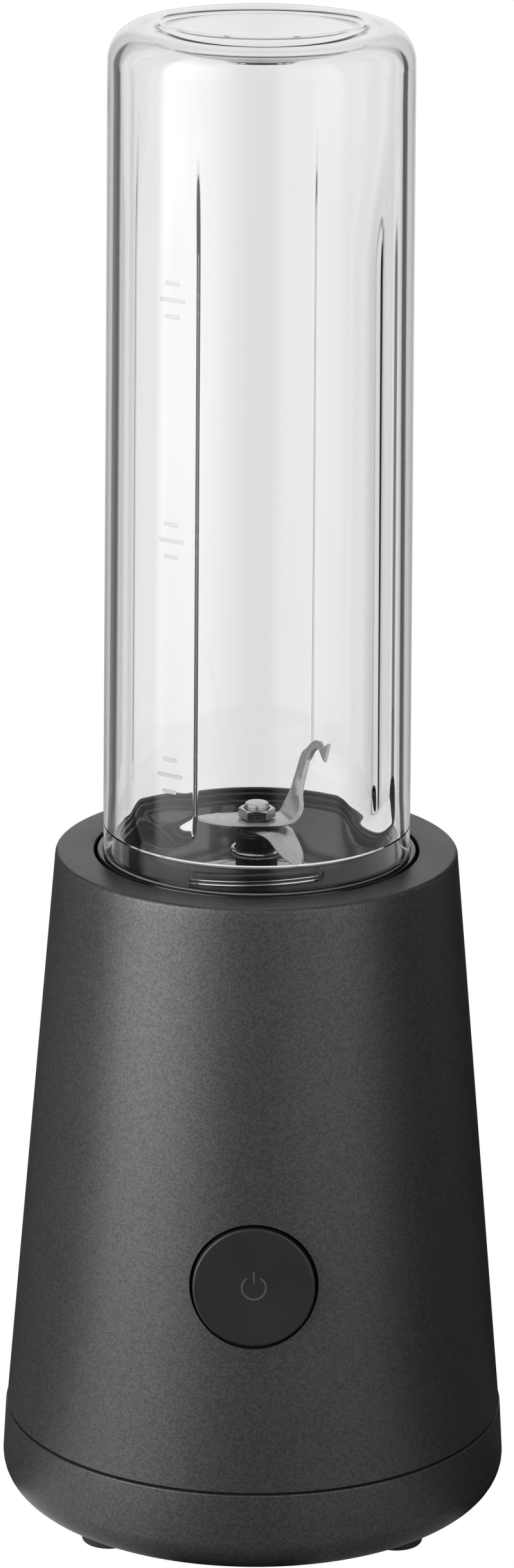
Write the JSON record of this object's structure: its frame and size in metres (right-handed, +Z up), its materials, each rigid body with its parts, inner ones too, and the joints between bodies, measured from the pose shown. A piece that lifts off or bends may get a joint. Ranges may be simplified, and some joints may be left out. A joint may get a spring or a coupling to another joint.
{
  "type": "personal blender",
  "caption": "Personal blender: tapered motor base with front start button, twist-lock blade holder and inverted clear cup.",
  "frame": {"origin": "middle of the footprint, on the plane the four feet stand on", "axes": "+Z up along the axis of the cup and motor, -Y towards the front with the start button"},
  "size_m": [0.128, 0.128, 0.3772],
  "materials": {
    "anthracite_shell": "fine metallic shimmer, matte",
    "button_plastic": "smooth satin",
    "black_plastic": "satin black",
    "inner_plastic": "moulded, matte",
    "clear_cup": "clear, polished",
    "stainless_steel": "ground and polished",
    "lamination_steel": "stamped laminations",
    "copper_winding": "varnished copper wire",
    "black_rubber": "matte",
    "silicone_seal": "soft, matte",
    "carbon_brush": "pressed carbon",
    "circuit_board": "lacquered board",
    "zinc_screw": "zinc plated",
    "white_nylon": "moulded nylon"
  },
  "bodies": {
    "base": {"base_pan": "anthracite_shell", "housing": "anthracite_shell", "locking_collar": "black_plastic", "foot_1": "black_rubber", "foot_2": "black_rubber", "foot_3": "black_rubber", "foot_4": "black_rubber", "base_screw_1": "zinc_screw", "base_screw_2": "zinc_screw", "base_screw_3": "zinc_screw", "base_screw_4": "zinc_screw", "collar_screw_1": "zinc_screw", "collar_screw_2": "zinc_screw", "collar_screw_3": "zinc_screw", "cord_gland": "black_rubber", "splash_seal": "black_rubber", "cord_clamp": "inner_plastic", "clamp_pillar_1": "zinc_screw", "clamp_pillar_2": "zinc_screw", "stator_core": "lamination_steel", "field_coil_left": "copper_winding", "field_coil_right": "copper_winding", "motor_bracket_lower": "lamination_steel", "motor_bracket_upper": "lamination_steel", "bearing_lower": "stainless_steel", "bearing_upper": "stainless_steel", "motor_bolt_1": "zinc_screw", "motor_bolt_2": "zinc_screw", "motor_mount_1": "black_rubber", "motor_mount_2": "black_rubber", "motor_mount_3": "black_rubber", "brush_front": "carbon_brush", "brush_rear": "carbon_brush", "brush_holder_front": "inner_plastic", "brush_holder_rear": "inner_plastic", "button_guide": "inner_plastic", "start_switch": "inner_plastic", "interlock_switch": "inner_plastic", "control_board": "circuit_board"},
    "armature": {"motor_shaft": "stainless_steel", "armature_core": "lamination_steel", "armature_winding_lower": "copper_winding", "armature_winding_upper": "copper_winding", "commutator": "copper_winding", "cooling_fan": "inner_plastic", "drive_coupling": "white_nylon"},
    "bearing_unit": {"blade_bearing": "black_plastic", "shaft_seal": "silicone_seal", "hub_ring": "stainless_steel"},
    "holder": {"blade_holder": "black_plastic"},
    "rotor": {"blade_shaft": "stainless_steel", "blade_upper": "stainless_steel", "blade_lower": "stainless_steel", "blade_nut": "stainless_steel", "drive_socket": "inner_plastic"},
    "gasket": {"cup_gasket": "silicone_seal"},
    "cup_body": {"cup": "clear_cup"},
    "interlock": {"interlock_pin": "white_nylon", "interlock_spring": "stainless_steel"},
    "button": {"button_cap": "button_plastic"}
  },
  "joints": [
    {"name": "motor_spin", "type": "hinge", "parent": "base", "child": "armature", "pos_m": [0, 0, 0.076], "axis": [0, 0, 1], "continuous": true},
    {"name": "jar_lift", "type": "slide", "parent": "base", "child": "bearing_unit", "axis": [0, 0, 1], "range_m": [0, 0.12]},
    {"name": "jar_twist", "type": "hinge", "parent": "bearing_unit", "child": "holder", "pos_m": [0, 0, 0.142], "axis": [0, 0, 1], "range_deg": [0, 30]},
    {"name": "blade_spin", "type": "hinge", "parent": "bearing_unit", "child": "rotor", "pos_m": [0, 0, 0.142], "axis": [0, 0, 1], "continuous": true},
    {"name": "cup_unscrew", "type": "hinge", "parent": "holder", "child": "gasket", "pos_m": [0, 0, 0.1713], "axis": [0, 0, 1], "range_deg": [0, 180]},
    {"name": "cup_rise", "type": "slide", "parent": "gasket", "child": "cup_body", "axis": [0, 0, 1], "range_m": [0, 0.0045]},
    {"name": "interlock_press", "type": "slide", "parent": "base", "child": "interlock", "axis": [0, 0, 1], "range_m": [0, 0.002], "deforming": ["interlock_spring"]},
    {"name": "button_press", "type": "slide", "parent": "base", "child": "button", "axis": [0, 0.9962, -0.0874], "range_m": [0, 0.0018], "stiffness_N_per_m": 500, "springref_m": -0.002}
  ],
  "couplings": [
    {"joint": "blade_spin", "follows": "motor_spin", "ratio": 1},
    {"joint": "cup_rise", "follows": "cup_unscrew", "m_per_rad": 0.0014324},
    {"joint": "interlock_press", "follows": "jar_twist", "m_per_rad": 0.0038197}
  ]
}
